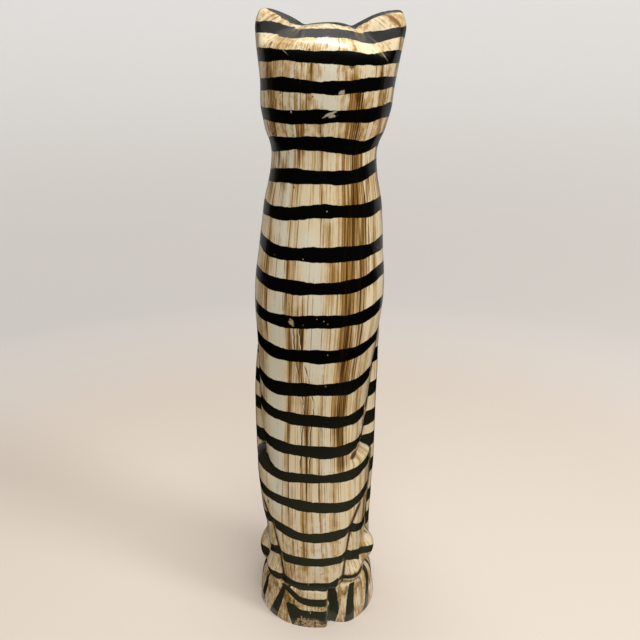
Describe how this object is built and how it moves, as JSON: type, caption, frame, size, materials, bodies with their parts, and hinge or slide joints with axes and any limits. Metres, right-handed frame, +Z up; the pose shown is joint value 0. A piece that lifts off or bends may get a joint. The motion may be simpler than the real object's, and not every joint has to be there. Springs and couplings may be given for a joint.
{
  "type": "carved cat figure",
  "caption": "Tall slim sitting cat carved in the round from one upright log, with its ears up, its paws in relief and a short round foot of the same log, painted with dark stripes.",
  "frame": {"origin": "centre of the figure's box at the level of the surface it stands on", "axes": "+Z up along the log, the cat looks along -Y, its back and tail are at +Y, its left side is at +X"},
  "size_m": [0.1226, 0.1086, 0.5072],
  "materials": {
    "painted_wood": "cream paint antiqued brown along the grain, hand painted black stripes, clear gloss varnish"
  },
  "bodies": {
    "root": {"carved_cat": "painted_wood"}
  },
  "joints": []
}
